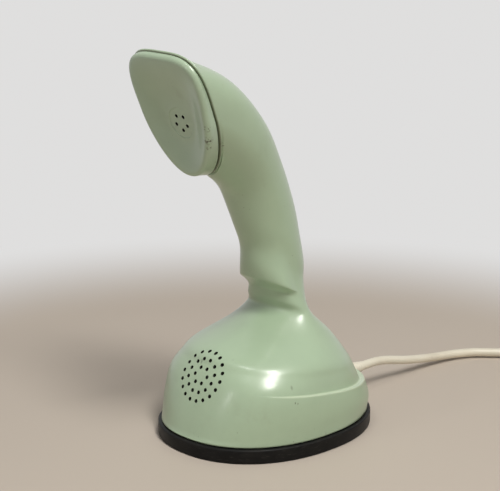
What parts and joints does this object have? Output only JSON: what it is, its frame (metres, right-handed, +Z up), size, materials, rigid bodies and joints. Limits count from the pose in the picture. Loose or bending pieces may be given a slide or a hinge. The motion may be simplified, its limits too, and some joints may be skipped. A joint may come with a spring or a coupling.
{
  "type": "telephone",
  "caption": "One-piece table telephone in pale green plastic: earpiece at the top of a curved grip, mouthpiece in the wide foot, rotary dial and hook plunger underneath, cord at the back.",
  "frame": {"origin": "middle of the footprint on the table, cord left out", "axes": "+Z up; the front with the mouthpiece and earpiece faces -Y; +X to the left of someone it faces"},
  "size_m": [0.1893, 0.3313, 0.2328],
  "materials": {
    "aluminium": "spun, satin",
    "black_plastic": "moulded phenolic, satin",
    "black_rubber": "moulded, matte",
    "blued_spring_steel": "blued spring steel",
    "brass": "turned and stamped",
    "brown_board": "laminated paper board",
    "chrome": "polished plate",
    "cream_cord": "PVC sheath, satin",
    "ivory_plastic": "moulded, satin",
    "mint_cap_plastic": "polished moulded plastic, worn rim",
    "mint_plastic": "polished moulded urea plastic, lightly scuffed",
    "red_wire": "PVC insulation",
    "zinc_steel": "zinc-plated pressed steel"
  },
  "bodies": {
    "case": {"base_plate": "zinc_steel", "base_ring": "black_rubber", "board_bracket": "zinc_steel", "chassis_screw_front_left": "zinc_steel", "chassis_screw_front_right": "zinc_steel", "chassis_screw_rear_left": "zinc_steel", "chassis_screw_rear_right": "zinc_steel", "cord_clamp": "black_plastic", "cord_inner_end": "cream_cord", "cord_strain_relief": "cream_cord", "cord_tie": "cream_cord", "dial_bridge": "zinc_steel", "dial_plate": "zinc_steel", "dial_screw_1": "zinc_steel", "dial_screw_2": "zinc_steel", "dial_screw_3": "zinc_steel", "finger_stop": "chrome", "governor_cup": "zinc_steel", "housing": "mint_plastic", "induction_coil": "brown_board", "lever_pin": "zinc_steel", "line_cord": "cream_cord", "line_cord_coil": "cream_cord", "network_board": "brown_board", "number_ring": "ivory_plastic", "plug_body": "cream_cord", "plug_pin_1": "brass", "plug_pin_2": "brass", "plunger_spring": "blued_spring_steel", "pulse_contact_block": "black_plastic", "pulse_contact_fixed": "brass", "pulse_contact_moving": "brass", "receiver_can": "aluminium", "receiver_cap": "mint_cap_plastic", "receiver_clamp": "zinc_steel", "receiver_diaphragm": "zinc_steel", "receiver_gasket": "black_rubber", "receiver_lead": "red_wire", "receiver_magnet": "zinc_steel", "receiver_screw_lower": "brass", "receiver_screw_upper": "brass", "return_spring": "blued_spring_steel", "speech_capacitor": "aluminium", "switch_block": "black_plastic", "switch_bracket": "zinc_steel", "switch_contact_lower": "brass", "switch_contact_upper": "brass", "terminal_block": "black_plastic", "transmitter_capsule": "aluminium", "transmitter_contact": "brass", "transmitter_gasket": "black_rubber", "transmitter_holder": "black_plastic"},
    "dial_rotor": {"finger_wheel": "ivory_plastic", "wheel_nut": "zinc_steel", "dial_shaft": "brass", "main_gear": "brass"},
    "pulse_rotor": {"pulse_arbor": "brass"},
    "governor_rotor": {"governor_arbor": "brass"},
    "hook_plunger": {"hook_plunger": "black_plastic"},
    "switch_lever": {"switch_lever": "brass"}
  },
  "joints": [
    {"name": "dial_turn", "type": "hinge", "parent": "case", "child": "dial_rotor", "pos_m": [0, 0.00769, 0.0023], "axis": [0, 0, 1], "range_deg": [0, 323], "stiffness_Nm_per_rad": 0.012, "springref_deg": -91.67},
    {"name": "pulse_turn", "type": "hinge", "parent": "case", "child": "pulse_rotor", "pos_m": [0.01268, 0.02965, 0.0163], "axis": [0, 0, 1], "range_deg": [-1300, 0]},
    {"name": "governor_turn", "type": "hinge", "parent": "case", "child": "governor_rotor", "pos_m": [0.02425, 0.01956, 0.0163], "axis": [0, 0, 1], "range_deg": [0, 2600]},
    {"name": "plunger_slide", "type": "slide", "parent": "case", "child": "hook_plunger", "axis": [0, 0, -1], "range_m": [0, 0.006], "stiffness_N_per_m": 60, "springref_m": 0.01, "deforming": ["plunger_spring"]},
    {"name": "lever_turn", "type": "hinge", "parent": "case", "child": "switch_lever", "pos_m": [-0.014, 0.00769, 0.0473], "axis": [0, 1, 0], "range_deg": [0, 24]}
  ],
  "couplings": [
    {"joint": "pulse_turn", "follows": "dial_turn", "ratio": -4},
    {"joint": "governor_turn", "follows": "dial_turn", "ratio": 8},
    {"joint": "lever_turn", "follows": "plunger_slide", "rad_per_m": 69.813}
  ]
}
